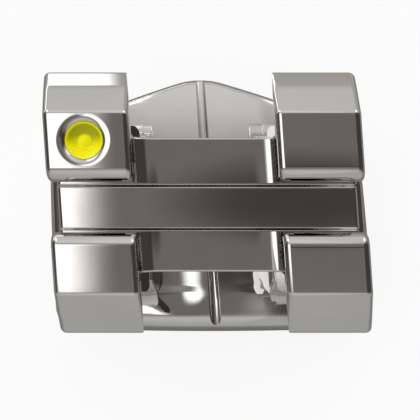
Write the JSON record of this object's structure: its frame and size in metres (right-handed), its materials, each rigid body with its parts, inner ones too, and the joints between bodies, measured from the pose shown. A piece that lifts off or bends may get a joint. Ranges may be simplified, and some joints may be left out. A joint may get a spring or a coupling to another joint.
{
  "type": "orthodontic bracket",
  "caption": "Moulded steel orthodontic bracket: tie wings over an archwire slot bridged by rails, an arched concave bonding pad with retention pegs, and a colour dot.",
  "frame": {"origin": "centre of the bounding box in X and Y, on the surface that the bonding pad's rim rests on", "axes": "+X along the archwire slot, +Y across it towards the pad's arched edge, +Z out of the tooth; the slot leans 7 degrees from +Z towards -Y (torque)"},
  "size_m": [0.0048, 0.0036, 0.0026],
  "materials": {
    "steel": "polished, slightly soft reflections",
    "dot": "glossy yellow epoxy"
  },
  "bodies": {
    "root": {"bracket_body": "steel", "identification_dot": "dot"}
  },
  "joints": []
}
